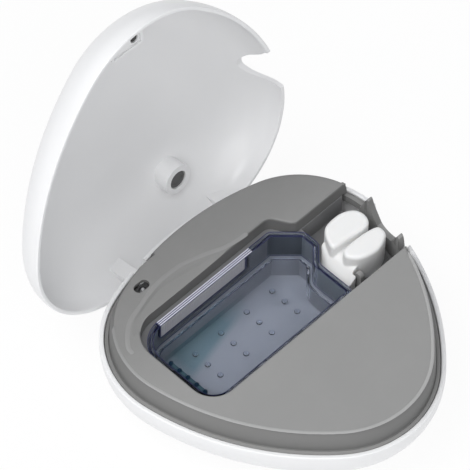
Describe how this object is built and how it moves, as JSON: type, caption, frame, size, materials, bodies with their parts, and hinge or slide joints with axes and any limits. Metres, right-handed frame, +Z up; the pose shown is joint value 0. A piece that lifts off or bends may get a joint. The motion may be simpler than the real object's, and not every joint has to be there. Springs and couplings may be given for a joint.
{
  "type": "toothbrush sanitizer",
  "caption": "Clamshell sanitizer case with an opening lid, a lift-out clear bath tray lit by a lamp tube, and a grooved rest for a brush head beside a handle opening.",
  "frame": {"origin": "middle of the case's plan, on the underside of the pad that the case stands on", "axes": "+Z up, +Y towards the hinge, +X along the hinge towards the handle opening; the lid is open at its stop"},
  "size_m": [0.16, 0.1998, 0.1672],
  "materials": {
    "white_gloss": "gloss",
    "grey_satin": "satin",
    "dark_grey_satin": "satin",
    "clear_blue": "clear gloss",
    "dark_teal": "gloss",
    "rest_white": "satin",
    "steel": "satin",
    "reflector_foil": "bright",
    "lamp_glass": "gloss",
    "cap_plastic": "matt",
    "board_green": "satin",
    "coil_copper": "satin",
    "capacitor_sleeve": "gloss",
    "black_plastic": "matt",
    "rubber": "matt"
  },
  "bodies": {
    "base": {"lower_shell": "white_gloss", "standing_pad": "rubber", "deck": "grey_satin", "bath_well": "dark_grey_satin", "lamp_window": "clear_blue", "lamp_tube": "lamp_glass", "lamp_cap_left": "cap_plastic", "lamp_cap_right": "cap_plastic", "lamp_reflector": "reflector_foil", "circuit_board": "board_green", "board_screw_1": "steel", "board_screw_2": "steel", "board_screw_3": "steel", "board_screw_4": "steel", "drive_coil": "coil_copper", "capacitor": "capacitor_sleeve", "controller_chip": "black_plastic", "power_inlet": "black_plastic", "lid_sensor": "black_plastic", "catch_plate": "steel", "switch_body": "black_plastic", "case_screw_1": "steel", "case_screw_2": "steel", "case_screw_3": "steel", "case_screw_4": "steel", "hinge_pin_left": "steel", "hinge_pin_right": "steel"},
    "lid": {"lid_shell": "white_gloss", "sensor_magnet": "cap_plastic", "catch_magnet": "cap_plastic"},
    "lid_switch": {"switch_plunger": "steel"},
    "tray": {"bath_tray": "clear_blue", "strainer_comb": "dark_teal"},
    "rest": {"brush_rest": "rest_white"}
  },
  "joints": [
    {"name": "lid_hinge", "type": "hinge", "parent": "base", "child": "lid", "pos_m": [0, 0.06775, 0.02387], "axis": [1, 0, 0], "range_deg": [0, 98]},
    {"name": "switch_press", "type": "slide", "parent": "base", "child": "lid_switch", "axis": [0, 0, 1], "range_m": [-0.0012, 0], "stiffness_N_per_m": 200},
    {"name": "tray_lift", "type": "slide", "parent": "base", "child": "tray", "axis": [0, 0, 1], "range_m": [0, 0.012]},
    {"name": "rest_lift", "type": "slide", "parent": "base", "child": "rest", "axis": [0, 0, 1], "range_m": [0, 0.008]}
  ]
}
